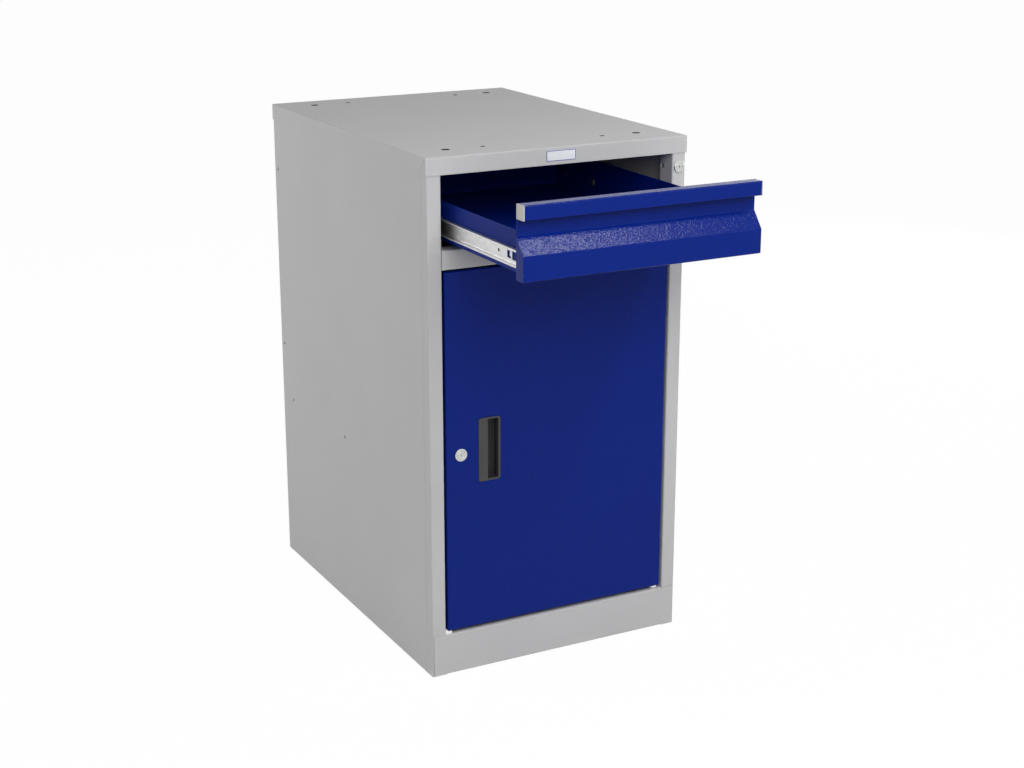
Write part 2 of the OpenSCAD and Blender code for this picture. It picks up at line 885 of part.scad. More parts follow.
// Bottom and sides folded from one sheet, with a front wall
module drawer_tray() {
    side_in = tray_x - tray_sheet;
    color(blue) opened(1) difference() {
        union() {
            along_y(tray_y0, tray_y1) folded([
                [-tray_x, tray_top],
                [-tray_x, tray_z],
                [tray_x, tray_z],
                [tray_x, tray_top]], tray_sheet);
            block([-side_in, tray_y0, tray_z + fold_r + tray_sheet],
                [side_in, tray_y0 + tray_sheet, tray_top]);
            block([-side_in + fold_r, tray_y0, tray_z], [side_in - fold_r, tray_y0 + tray_sheet, tray_top]);
        }
        for (side = ["left", "right"]) on_side(side) {
            for (y = hook_ys())
                block([side_in - cut, y - hook_slot_l / 2, slide_z - hook_slot_h / 2],
                    [tray_x + cut, y + hook_slot_l / 2, slide_z + hook_slot_h / 2]);
            rod_x(rear_rivet_y, slide_z, side_in - cut, tray_x + cut, rivet_r + run_gap);
        }
        for (x = [-front_rivet_x, front_rivet_x])
            rod_y(x, front_rivet_z, tray_y0 - cut, tray_y0 + tray_sheet + cut, rivet_r + run_gap);
    }
}

function hook_ys() = [slide_y0 + hook_front, slide_y0 + hook_rear];

// Back wall with a wing on each side
module drawer_back() {
    x = tray_x - tray_sheet;
    color(blue) opened(1) along_z(tray_z + tray_sheet, tray_top) folded([
        [x, tray_y1 - back_wing],
        [x, tray_y1],
        [-x, tray_y1],
        [-x, tray_y1 - back_wing]], tray_sheet);
}

// Section of the drawer front, from the grip bar's rear lip round to the bottom lip
function front_path() = [
    [tray_y0, grip_z + tray_sheet + pass_gap],
    [tray_y0, front_z1],
    [front_y, front_z1],
    [front_y, grip_z],
    [recess_y, grip_z],
    [recess_y, recess_z],
    [front_y, slope_z],
    [front_y, front_z0],
    [tray_y0, front_z0],
    [tray_y0, front_z0 + front_lip_h]];

// Section of the closed ends below the recess
module front_end() {
    p = front_path();
    path = [[recess_y, recess_z + fold_r + tray_sheet], p[5], p[6], p[7], p[8], p[9]];
    polygon(concat(softened(path, tray_sheet), [[tray_y0, recess_z + fold_r + tray_sheet]]));
}

module drawer_front() {
    color(blue) opened(1) difference() {
        union() {
            along_x(-front_x, front_x) folded(front_path(), tray_sheet);
            along_x(-front_x, -front_x + tray_sheet) front_end();
            along_x(front_x - tray_sheet, front_x) front_end();
        }
        for (side = ["left", "right"]) on_side(side)
            block([front_x - cap_t, front_y - cut, grip_z], [front_x + cut, tray_y0 + cut, front_z1 + cut]);
        for (x = [-front_rivet_x, front_rivet_x])
            rod_y(x, front_rivet_z, recess_y - cut, tray_y0 + cut, rivet_r + run_gap);
    }
}

// Plastic cap on an end of the grip bar, with a plug that fits inside the bar
module grip_cap(side) {
    inset = tray_sheet + fold_r / 2;
    color(zinc) on_side(side) opened(1) {
        block([front_x - cap_t, front_y, grip_z], [front_x, tray_y0, front_z1]);
        block([front_x - cap_t - cap_plug, front_y + inset, grip_z + inset],
            [front_x - cap_t, tray_y0 - inset, front_z1 - inset]);
    }
}

module grip_cap_left() {
    grip_cap("left");
}

module grip_cap_right() {
    grip_cap("right");
}

// Drawer member of the slide: a channel with two hooks through the tray's side
module drawer_runner(side) {
    color(zinc) on_side(side) opened(1) {
        difference() {
            translate([0, 0, slide_z]) along_y(slide_y0, slide_y0 + slide_l) folded([
                [tray_x + runner_lip, runner_h / 2],
                [tray_x, runner_h / 2],
                [tray_x, -runner_h / 2],
                [tray_x + runner_lip, -runner_h / 2]], slide_sheet);
            for (y = hook_ys())
                block([tray_x - cut, y - hook_l / 2, slide_z - hook_h / 2],
                    [tray_x + slide_sheet + cut, y + hook_l / 2, slide_z + hook_h / 2]);
            rod_x(runner_hole_y, slide_z, tray_x - cut, tray_x + slide_sheet + cut, runner_hole_r);
            rod_x(rear_rivet_y, slide_z, tray_x - cut, tray_x + slide_sheet + cut, rivet_r + run_gap);
            block([tray_x - cut, slide_y0 - cut, slide_z - notch_half],
                [tray_x + slide_sheet + cut, slide_y0 + notch_l, slide_z + notch_half]);
        }
        for (y = hook_ys()) runner_hook(y);
    }
}

// Tab cut free on three sides and pressed through the tray's slot
module runner_hook(y) {
    deep = tray_x - tray_sheet - hook_gap - hook_t;
    y0 = y - hook_l / 2 - hook_t;
    z0 = slide_z - hook_h / 2 + hook_side;
    z1 = slide_z + hook_h / 2 - hook_side;
    block([deep, y0, z0], [tray_x + slide_sheet, y0 + hook_t, z1]);
    block([deep, y0, z0], [deep + hook_t, y + hook_l / 2 - hook_short, z1]);
}

module drawer_runner_left() {
    drawer_runner("left");
}

module drawer_runner_right() {
    drawer_runner("right");
}

module runner_rivets() {
    outside = tray_x + slide_sheet;
    inside = tray_x - tray_sheet;
    color(zinc) for (side = ["left", "right"]) on_side(side) opened(1) {
        rod_x(rear_rivet_y, slide_z, inside - rivet_head_t, outside + rivet_head_t, rivet_r);
        rod_x(rear_rivet_y, slide_z, inside - rivet_head_t, inside, rivet_head_r);
        rod_x(rear_rivet_y, slide_z, outside, outside + rivet_head_t, rivet_back_r);
    }
}

// Rivets that hold the front's bottom lip on the tray
module front_rivets() {
    inside = tray_y0 + tray_sheet;
    color(blue) opened(1) for (x = [-front_rivet_x, front_rivet_x]) {
        rod_y(x, front_rivet_z, recess_y - rivet_head_t, inside + rivet_head_t, rivet_r);
        rod_y(x, front_rivet_z, recess_y - rivet_head_t, recess_y, rivet_back_r);
        rod_y(x, front_rivet_z, inside, inside + rivet_head_t, rivet_back_r);
    }
}

// Angle on the tray's right side that the lock's bolt catches
module drawer_strike() {
    y = bolt_y1 + 2 * pass_gap;
    z1 = dlock_z - bolt_low + bolt_h + strike_over;
    color(zinc) opened(1) {
        block([tray_x, y, strike_z0], [tray_x + strike_t, y + strike_foot, tray_top]);
        block([tray_x, y, strike_z0], [tray_x + strike_t, y + strike_arm, z1]);
        block([tray_x, y, dlock_z - bolt_low - strike_over], [strike_x, y + strike_t, z1]);
    }
}

// Puts a child at the centre of each ball
module at_balls() {
    for (i = [0 : ball_n - 1], s = [-1, 1])
        translate([ball_x, cage_y + (i - (ball_n - 1) / 2) * ball_pitch, slide_z + s * ball_z]) children();
}

// Cage that keeps the balls apart, and moves half as far as the drawer
module ball_cage(side) {
    z = ball_z + cage_sheet / 2;
    color(zinc) on_side(side) opened(0.5) difference() {
        translate([0, 0, slide_z]) along_y(cage_y - cage_l / 2, cage_y + cage_l / 2) folded([
            [cage_x - cage_arm, -z],
            [cage_x, -z],
            [cage_x, z],
            [cage_x - cage_arm, z]], cage_sheet);
        at_balls() cylinder(h = 2 * cage_sheet + ball_d, r = cage_hole_r, center = true);
    }
}

module ball_cage_left() {
    ball_cage("left");
}

module ball_cage_right() {
    ball_cage("right");
}

module slide_balls(side) {
    color(chrome) on_side(side) opened(0.5) at_balls() sphere(d = ball_d);
}

module slide_balls_left() {
    slide_balls("left");
}

module slide_balls_right() {
    slide_balls("right");
}

// Door pan with lips at both sides and the holes for lock, handle and hinge bushes
module door_skin() {
    color(blue) difference() {
        union() {
            translate([0, door_y1, door_mid]) rotate([90, 0, 0])
                pan(2 * door_x, door_z1 - door_z0, door_d, door_sheet);
            for (side = ["left", "right"]) on_side(side)
                block([door_x - door_lip, door_y1 - door_sheet, door_z0 + door_sheet / 2],
                    [door_x, door_y1, door_z1 - door_sheet / 2]);
        }
        rod_y(lock_x, door_mid, door_y0 - cut, door_in + cut, lock_r + run_gap);
        handle_box(handle_gap, door_y0 - cut, door_in + cut);
        for (z = [door_z0, door_z1])
            rod_z(hinge_x, hinge_y, z - 2 * door_sheet, z + 2 * door_sheet, bush_r + run_gap);
    }
}

module door_stiffener() {
    y = door_y1 - 2 * door_sheet;
    color(blue) along_z(door_z0 + stiffener_short, door_z1 - stiffener_short) folded([
        [stiffener_x + stiffener_w / 2, door_in],
        [stiffener_x + stiffener_w / 2, y],
        [stiffener_x - stiffener_w / 2, y],
        [stiffener_x - stiffener_w / 2, door_in]], door_sheet);
}

// Body of the handle behind its rim, grown by a gap
module handle_box(gap, y0, y1) {
    x = handle_w / 2 - handle_flange + gap;
    z = handle_h / 2 - handle_flange + gap;
    block([handle_x - x, y0, handle_z - z], [handle_x + x, y1, handle_z + z]);
}

// Rim with round corners, drawn in two steps
module handle_rim(grow, y0, y1) {
    hull() for (sx = [-1, 1], sz = [-1, 1])
        translate([handle_x + sx * (handle_w / 2 - rim_r), y1, handle_z + sz * (handle_h / 2 - rim_r)])
            rotate([90, 0, 0]) cylinder(h = y1 - y0, r = rim_r + grow, $fn = 32);
}

// Flush pull: the fingers reach through the mouth and curl behind the wide side of the rim
module door_handle() {
    bottom = door_y0 + handle_cup_d;
    x1 = handle_x + handle_w / 2 - mouth_in;
    x0 = handle_x - handle_w / 2 + handle_flange + handle_wall;
    z = handle_h / 2 - handle_flange - handle_wall;
    color(black) difference() {
        union() {
            handle_rim(0, door_y0 - rim_edge, door_y0);
            handle_rim(-rim_chamfer, door_y0 - handle_proud, door_y0);
            handle_box(0, door_y0, bottom);
        }
        block([x1 - mouth_w, door_y0 - handle_proud - cut, handle_z - z],
            [x1, bottom - handle_wall, handle_z + z]);
        block([x0, door_y0 + handle_wall, handle_z - z], [x1, bottom - handle_wall, handle_z + z]);
    }
}

module door_lock_body() {
    color(chrome) difference() {
        union() {
            bevelled_y(lock_x, door_mid, door_y0 - lock_proud, door_y0, lock_face_r, face_bevel);
            rod_y(lock_x, door_mid, door_y0, lock_end, lock_r);
        }
        rod_y(lock_x, door_mid, door_y0 - lock_proud - cut, lock_end + cut, lock_plug_r + run_gap);
    }
}

module door_lock_nut() {
    color(zinc) difference() {
        hex_y(lock_x, door_mid, door_in, door_in + nut_t, lock_nut_w);
        rod_y(lock_x, door_mid, door_in - cut, door_in + nut_t + cut, lock_r + run_gap);
    }
}

// Flanged bush in the door's top or bottom flange; end is 1 at the top and -1 at the bottom
module door_bush(z, end, gap) {
    flange = z + end * (gap - hinge_plate_t - pass_gap);
    inner = z - end * bush_l;
    color(white) difference() {
        union() {
            rod_z(hinge_x, hinge_y, min(z, flange), max(z, flange), bush_flange_r);
            rod_z(hinge_x, hinge_y, min(z, inner), max(z, inner), bush_r);
        }
        rod_z(hinge_x, hinge_y, min(inner, flange) - cut, max(inner, flange) + cut, pin_r + run_gap);
    }
}

module door_bush_lower() {
    door_bush(door_z0, -1, door_gap_bottom);
}

module door_bush_upper() {
    door_bush(door_z1, 1, door_gap_top);
}

// Keyhole in a plug's face
module keyhole(x, z, face) {
    block([x - key_w / 2, face - cut, z - key_h / 2], [x + key_w / 2, face + key_depth, z + key_h / 2]);
}

module door_lock_plug() {
    face = door_y0 - lock_proud + plug_sunk;
    color(chrome) difference() {
        union() {
            rod_y(lock_x, door_mid, face, cam_y0, lock_plug_r);
            block([lock_x - tail_half, cam_y0, door_mid - tail_half],
                [lock_x + tail_half, cam_y1, door_mid + tail_half]);
        }
        keyhole(lock_x, door_mid, face);
    }
}

// Cam that hangs down when unlocked, and swings behind the left post's return
module door_lock_cam() {
    r = cam_w / 2;
    color(zinc) difference() {
        union() {
            rod_y(lock_x, door_mid, cam_y0, cam_y1, r);
            block([lock_x - r, cam_y0, door_mid - cam_reach], [lock_x + r, cam_y1, door_mid]);
        }
        block([lock_x - tail_half, cam_y0 - cut, door_mid - tail_half],
            [lock_x + tail_half, cam_y1 + cut, door_mid + tail_half]);
    }
}

module cam_screw() {
    color(zinc) hex_y(lock_x, door_mid, cam_y1, cam_y1 + cam_screw_t, cam_screw_w);
}

// Plug with the disc and crank pin that drive the bolt
module drawer_lock_plug() {
    face = body_y0 - dlock_proud + plug_sunk;
    color(chrome) translate([dlock_x, 0, dlock_z]) difference() {
        union() {
            rod_y(0, 0, face, disc_y + disc_t / 2, dlock_plug_r);
            rod_y(0, 0, disc_y, disc_y + disc_t, disc_r);
            rod_y(crank_lead, -crank_lead, disc_y + disc_t / 2, bolt_y0 + crank_pin_in, crank_pin_r);
        }
        keyhole(0, 0, face);
    }
}

// Bolt with an upright slot that the crank pin moves in
module drawer_lock_bolt() {
    z0 = dlock_z + bolt_tail_z0;
    slot_x = dlock_x + crank_lead;
    color(zinc) difference() {
        union() {
            block([bolt_tip, bolt_y0, dlock_z - bolt_low], [tail_x1, bolt_y1, dlock_z - bolt_low + bolt_h]);
            block([tail_x0, bolt_y0, z0], [tail_x1, bolt_y1, dlock_z + bolt_tail_z1]);
        }
        block([slot_x - bolt_slot_w / 2, bolt_y0 - cut, z0 - cut],
            [slot_x + bolt_slot_w / 2, bolt_y0 + crank_pin_in + 2 * pass_gap,
                dlock_z - crank_lead + crank_pin_r + pass_gap]);
    }
}

top_cover();
side_panel_left();
side_panel_right();
back_panel();
post_left();
post_right();
top_rail();
rear_rail();
middle_rail();
plinth();
bottom_panel();
base_frame();
shelf();
shelf_pegs();
name_plate();
front_upright_left();
front_upright_right();
rear_upright_left();
rear_upright_right();
slide_channel_left();
slide_channel_right();
slide_rivets();
drawer_lock_body();
drawer_lock_nut();
hinge_plate_lower();
hinge_plate_upper();
door_glide();
door_stops();
door_buffers();
drawer_tray();
drawer_back();
drawer_front();
grip_cap_left();
grip_cap_right();
drawer_runner_left();
drawer_runner_right();
runner_rivets();
front_rivets();
drawer_strike();
ball_cage_left();
ball_cage_right();
slide_balls_left();
slide_balls_right();
door_skin();
door_stiffener();
door_handle();
door_lock_body();
door_lock_nut();
door_bush_lower();
door_bush_upper();
door_lock_plug();
door_lock_cam();
cam_screw();
drawer_lock_plug();
drawer_lock_bolt();
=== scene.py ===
import json
import math

import bmesh
import bpy
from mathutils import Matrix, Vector


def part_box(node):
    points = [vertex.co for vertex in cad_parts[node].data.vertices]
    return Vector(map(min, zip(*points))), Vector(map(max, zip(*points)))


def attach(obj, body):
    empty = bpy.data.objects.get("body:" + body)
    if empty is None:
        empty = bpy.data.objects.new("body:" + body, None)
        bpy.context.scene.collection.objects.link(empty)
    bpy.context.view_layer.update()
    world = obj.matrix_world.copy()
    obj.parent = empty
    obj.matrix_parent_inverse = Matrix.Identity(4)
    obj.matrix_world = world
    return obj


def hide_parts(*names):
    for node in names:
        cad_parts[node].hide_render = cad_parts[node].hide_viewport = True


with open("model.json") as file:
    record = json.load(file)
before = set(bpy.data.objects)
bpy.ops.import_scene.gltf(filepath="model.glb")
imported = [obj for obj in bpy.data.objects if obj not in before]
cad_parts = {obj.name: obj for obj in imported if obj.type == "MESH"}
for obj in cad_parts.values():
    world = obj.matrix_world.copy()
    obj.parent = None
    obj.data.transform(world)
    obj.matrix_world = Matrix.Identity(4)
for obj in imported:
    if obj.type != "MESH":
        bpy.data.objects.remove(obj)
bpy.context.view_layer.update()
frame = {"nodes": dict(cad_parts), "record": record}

# Tool drawer cabinet: a steel pedestal with one drawer over a cupboard.
# Metres, +X right, +Y back, +Z up. The origin is on the floor, under the middle of the carcass.
MM = 0.001

# Camera, fitted to the corners of the cabinet in the photograph. It looks down by its dip.
CAMERA_PLACE = (-1.327, -2.654, 1.276)
CAMERA_TURN = math.radians(-27.95)
CAMERA_DIP = math.radians(17.01)
CAMERA_LENS = 63.48
CAMERA_SENSOR = 36.0

# Stage
WHITE = (1.0, 1.0, 1.0, 1.0)
FLOOR_COLOUR = (0.9, 0.9, 0.9, 1.0)
FLOOR_HALF = 30
FLOOR_DROP = 0.5 * MM
FLOOR_GLOW = 0.98
AMBIENT = 0.08

# Lamps: name, place, what it is turned to, width, height and radiance. The strip's mirror image
# fills the left half of the slope on the drawer's front.
CABINET_MIDDLE = (0.0, -0.2, 0.45)
LAMPS = [
    ("strip_softbox", (1.0, -1.62, 2.74), (1.0, -0.6, 0.45), 0.5, 0.3, 44.0),
    ("front_softbox", (-0.2, -1.8, 1.65), CABINET_MIDDLE, 1.0, 1.0, 5.9),
    ("front_left_softbox", (-1.5, -2.8, 1.9), CABINET_MIDDLE, 1.6, 1.6, 2.8),
    ("front_right_softbox", (1.9, -2.4, 1.5), CABINET_MIDDLE, 1.6, 1.6, 1.5),
    ("back_left_softbox", (-2.6, 1.6, 1.3), CABINET_MIDDLE, 1.8, 1.8, 4.4),
    ("back_right_softbox", (2.8, 1.5, 1.2), CABINET_MIDDLE, 1.8, 1.8, 4.0),
]

# Paint colours, linear
GREY = (0.47, 0.47, 0.473)
BLUE = (0.0015, 0.0140, 0.172)

# Most of a noise texture's values lie between these
NOISE_LOW = 0.3
NOISE_HIGH = 0.7

# Powder coat: size and height of the finer wrinkles as shares of the main ones, and size of the
# faint clouds in its colour
FINE_SIZE = 3.5
FINE_HEIGHT = 0.25
COAT_CLOUD = 160 * MM
# Zinc plate: width of the rolling streaks, their squeeze along Y, and size of the spangle
STREAK = 0.7 * MM
STREAK_SQUEEZE = 0.03
SPANGLE = 5 * MM
# Chrome: width of the scratches, the range of their noise, and size of the dull spots
SCRATCH = 0.35 * MM
SCRATCH_LOW = 0.35
SCRATCH_HIGH = 0.65
DULL_SPOT = 4 * MM
# Sizes of the clouds in plastic and of the waves in enamel
PLASTIC_CLOUD = 30 * MM
ENAMEL_WAVE = 5 * MM

# Painted shade on the top holes' walls: how dark it makes them, and how far past the wall it
# starts
HOLE_SHADE = 0.1
HOLE_RIM = 0.2 * MM
# Painted shade at the bottom of the pull's cup
CUP_SHADE = 0.25

# Meshes: steps in a quarter of an outline and in a rounded edge, the smallest radius, the angle
# from which an edge is shaded sharp, and the distances at which vertices are merged
QUARTER_STEPS = 15
EDGE_STEPS = 5
SMALLEST_R = 0.05 * MM
SHARP = math.radians(32)
MERGE = 1e-7
CAD_MERGE = 1e-6

# Name plate
PLATE_CORNER = 2.0 * MM
PLATE_EDGE = 0.3 * MM
PLATE_RIM = 0.8 * MM
RIM_HOLE_CORNER = 1.2 * MM
RIM_BEVEL = 0.1 * MM
FACE_CORNER = 1.4 * MM
FACE_SUNK = 0.2 * MM
FACE_EDGE = 0.2 * MM

# Door's flush pull
PULL_PROUD = 1.7 * MM
PULL_CORNER = 4.8 * MM
PULL_EDGE = 1.1 * MM
PULL_FLANGE = 1.5 * MM
PULL_WALL = 1.6 * MM
MOUTH_WIDTH = 18 * MM
MOUTH_IN = 4 * MM
MOUTH_EDGE = 0.9 * MM
INSIDE_R = 1.5 * MM

# Locks
LOCK_PROUD = 1.5 * MM
LOCK_BARREL_R = 9 * MM
LOCK_PLUG_R = 6 * MM
PLUG_SUNK = 0.3 * MM
PLUG_GAP = 0.05 * MM
TAIL_HALF = 3 * MM
TAIL_CORNER = 0.3 * MM
THREAD_PITCH = 1.25 * MM
THREAD_DEPTH = 0.35 * MM
KEYWAY_HALF = (0.5 * MM, 2.8 * MM)
KEYWAY_CORNER = 0.3 * MM
KEYWAY_DEPTH = 1.5 * MM
KEYWAY_CHAMFER = 0.25 * MM
KEYWAY_MOUTH_CORNER = 0.5 * MM
DRAWER_PLUG_R = 5.5 * MM
CRANK_DISC_T = 2.2 * MM
CRANK_PIN_R = 1.5 * MM
CRANK_PIN_L = 7.6 * MM
CRANK_PIN_ROOT = 0.1 * MM
CRANK_PIN_EDGE = 0.3 * MM
CRANK_AT = 6 * MM * math.sin(math.pi / 4)

# Caps on the grip bar's ends
CAP_SHELL = 2 * MM
CAP_CORNER = 1.0 * MM
CAP_EDGE = 0.7 * MM
CAP_PLUG = 9 * MM
CAP_PLUG_IN = 1.6 * MM
CAP_PLUG_CORNER = 0.8 * MM
CAP_PLUG_EDGE = 0.6 * MM

# Rivets and shelf pegs, with a peg's collar measured from its outer end
RIVET_R = 2 * MM
RIVET_HEAD_T = 0.9 * MM
PEG_R = 2.5 * MM
PEG_BORE_R = 2.2 * MM
PEG_BORE_DEPTH = 7 * MM
PEG_CHAMFER = 0.1 * MM
PEG_EDGE = 0.6 * MM
COLLAR_FROM = 0.8 * MM
COLLAR_TO = 1.6 * MM
COLLAR_CHAMFER = 0.2 * MM


# Node graphs
class Graph:
    """A material's or world's nodes, with short calls to add and join them."""

    def __init__(self, owner):
        owner.use_nodes = True
        self.tree = owner.node_tree
        self.tree.nodes.clear()

    def add(self, kind, settings=None, **sockets):
        node = self.tree.nodes.new(kind)
        for key, value in (settings or {}).items():
            setattr(node, key, value)
        for key, value in sockets.items():
            self.set(node, key.replace("_", " "), value)
        return node

    def set(self, node, key, value):
        """Join a socket to the node's input of that name or number, or give the input a value."""
        socket = node.inputs[int(key) if key.isdigit() else key]
        if isinstance(value, bpy.types.NodeSocket):
            self.tree.links.new(value, socket)
        else:
            socket.default_value = value

    def math(self, operation, a, b=0.0):
        node = self.add("ShaderNodeMath", {"operation": operation})
        self.set(node, "0", a)
        self.set(node, "1", b)
        return node.outputs[0]

    def noise(self, place, size, detail=2.0, distortion=0.0):
        node = self.add(
            "ShaderNodeTexNoise",
            Vector=place, Scale=1 / size, Detail=detail, Distortion=distortion)
        return node.outputs["Fac"]

    def spread(self, value, low, high, to_low, to_high):
        node = self.add(
            "ShaderNodeMapRange",
            Value=value, From_Min=low, From_Max=high, To_Min=to_low, To_Max=to_high)
        return node.outputs["Result"]

    def vary(self, noise, to_low, to_high):
        """Noise, spread from its usual range to the range given."""
        return self.spread(noise, NOISE_LOW, NOISE_HIGH, to_low, to_high)

    def tint(self, colour, factor):
        """The colour with its brightness multiplied by factor, a socket."""
        node = self.add("ShaderNodeVectorMath", {"operation": "SCALE"}, Scale=factor)
        self.set(node, "0", colour)
        return node.outputs["Vector"]

    def bump(self, height, distance, normal=None):
        node = self.add("ShaderNodeBump", Height=height, Distance=distance, Strength=1.0)
        if normal is not None:
            self.set(node, "Normal", normal)
        return node.outputs["Normal"]


def new_material(name):
    """A material, its graph, its shader, and a socket that gives a point's place in the part."""
    material = bpy.data.materials.new(name)
    graph = Graph(material)
    shader = graph.add("ShaderNodeBsdfPrincipled")
    graph.add("ShaderNodeOutputMaterial", Surface=shader.outputs[0])
    place = graph.add("ShaderNodeTexCoord").outputs["Object"]
    return material, graph, shader, place


def soft_edge(graph, radius):
    return graph.add("ShaderNodeBevel", {"samples": 4}, Radius=radius).outputs["Normal"]


# Painted shade: what a place on a node multiplies the brightness of its material's colour by
def painted_hole_shade(graph, place):
    """Painted shade: HOLE_SHADE on the walls of the top cover's punched holes, and 1 elsewhere."""
    spot = graph.add("ShaderNodeSeparateXYZ", Vector=place)
    inside = 0.0
    for mount in frame["record"]["mounts"]:
        if not mount["name"].startswith("top_bolts"):
            continue
        dims = mount["dims"]
        spacings = (dims["spacing_x_mm"], dims["spacing_y_mm"])
        squares = []
        for axis, spacing, middle in zip("XY", spacings, mount["pos_m"]):
            away = graph.math("ABSOLUTE", graph.math("SUBTRACT", spot.outputs[axis], middle))
            off = graph.math("SUBTRACT", away, spacing / 2 * MM)
            squares.append(graph.math("MULTIPLY", off, off))
        reach = dims["hole_r_mm"] * MM + HOLE_RIM
        near = graph.math("LESS_THAN", graph.math("ADD", *squares), reach ** 2)
        inside = graph.math("MAXIMUM", near, inside)
    return graph.spread(inside, 0.0, 1.0, 1.0, HOLE_SHADE)


def painted_cup_shade(graph, place):
    """Painted shade, from 1 at the door's skin to CUP_SHADE at the bottom of the pull's cup."""
    low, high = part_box("door_handle")
    spot = graph.add("ShaderNodeSeparateXYZ", Vector=place)
    return graph.spread(spot.outputs["Y"], low.y + PULL_PROUD, high.y - PULL_WALL, 1.0, CUP_SHADE)


# Materials
def powder_coat(name, colour, specular, grain, relief, roughness, painted_shade=None):
    """Textured powder coat: wrinkles of about one grain, with finer ones on them, and painted
    shade that makes their hollows slightly darker."""
    material, graph, shader, place = new_material(name)
    wrinkle = graph.noise(place, grain, detail=1.0, distortion=1.6)
    fine = graph.noise(place, grain / FINE_SIZE, detail=1.0)
    height = graph.math("ADD", wrinkle, graph.math("MULTIPLY", fine, FINE_HEIGHT))
    cloud = graph.noise(place, COAT_CLOUD, detail=3.0)
    # Painted shade: the wrinkles' hollows a few percent darker, times the coat's own faint clouds
    # of tone
    shade = graph.math(
        "MULTIPLY", graph.vary(wrinkle, 0.97, 1.03), graph.vary(cloud, 0.985, 1.015))
    # Painted shade by place, where the material is given it
    if painted_shade:
        shade = graph.math("MULTIPLY", shade, painted_shade(graph, place))
    graph.set(shader, "Base Color", graph.tint(colour, shade))
    graph.set(shader, "Roughness", graph.vary(fine, roughness - 0.04, roughness + 0.04))
    graph.set(shader, "Specular IOR Level", specular)
    graph.set(shader, "Normal", graph.bump(height, relief, soft_edge(graph, 0.7 * MM)))
    return material


def zinc_plate(name, colour, roughness):
    """Zinc-plated steel: faint rolling streaks along Y, and a cloudy plating."""
    material, graph, shader, place = new_material(name)
    mapped = graph.add("ShaderNodeMapping", Vector=place, Scale=(1.0, STREAK_SQUEEZE, 1.0))
    streak = graph.noise(mapped.outputs["Vector"], STREAK, detail=3.0)
    cloud = graph.noise(place, SPANGLE, detail=4.0, distortion=0.4)
    shade = graph.math("MULTIPLY", graph.vary(streak, 0.94, 1.06), graph.vary(cloud, 0.93, 1.05))
    graph.set(shader, "Base Color", graph.tint(colour, shade))
    graph.set(shader, "Metallic", 1.0)
    dullness = graph.math("ADD", graph.vary(cloud, -0.05, 0.06), graph.vary(streak, -0.04, 0.04))
    graph.set(shader, "Roughness", graph.math("ADD", dullness, roughness))
    graph.set(shader, "Normal", graph.bump(streak, 0.004 * MM, soft_edge(graph, 0.35 * MM)))
    return material


def chrome_plate(name, colour, roughness):
    """Chrome with fine scratches in all directions and a few dull spots."""
    material, graph, shader, place = new_material(name)
    scratch = graph.noise(place, SCRATCH, detail=5.0, distortion=2.5)
    spot = graph.noise(place, DULL_SPOT, detail=2.0)
    graph.set(shader, "Base Color", graph.tint(colour, graph.vary(spot, 0.95, 1.03)))
    graph.set(shader, "Metallic", 1.0)
    dullness = graph.spread(scratch, SCRATCH_LOW, SCRATCH_HIGH, -0.04, 0.06)
    graph.set(shader, "Roughness", graph.math("ADD", dullness, roughness))
    graph.set(shader, "Normal", graph.bump(scratch, 0.002 * MM, soft_edge(graph, 0.25 * MM)))
    return material


def moulded(name, colour, specular, grain, relief, roughness, painted_shade=None):
    """Moulded plastic, rubber or nylon with an even eroded texture."""
    material, graph, shader, place = new_material(name)
    grit = graph.noise(place, grain, detail=3.0)
    cloud = graph.noise(place, PLASTIC_CLOUD, detail=2.0)
    shade = graph.vary(cloud, 0.95, 1.05)
    # Painted shade by place, where the material is given it
    if painted_shade:
        shade = graph.math("MULTIPLY", shade, painted_shade(graph, place))
    graph.set(shader, "Base Color", graph.tint(colour, shade))
    graph.set(shader, "Roughness", graph.vary(grit, roughness - 0.05, roughness + 0.05))
    graph.set(shader, "Specular IOR Level", specular)
    graph.set(shader, "Normal", graph.bump(grit, relief, soft_edge(graph, 0.4 * MM)))
    return material


def enamel(name, colour):
    """Glossy stove enamel with a faint waviness."""
    material, graph, shader, place = new_material(name)
    wave = graph.noise(place, ENAMEL_WAVE, detail=2.0)
    graph.set(shader, "Base Color", graph.tint(colour, graph.vary(wave, 0.97, 1.03)))
    graph.set(shader, "Roughness", graph.vary(wave, 0.16, 0.24))
    graph.set(shader, "Coat Weight", 0.5)
    graph.set(shader, "Normal", graph.bump(wave, 0.02 * MM))
    return material


GREY_COAT = {
    "colour": GREY, "specular": 0.15, "grain": 1.6 * MM, "relief": 0.05 * MM, "roughness": 0.5}
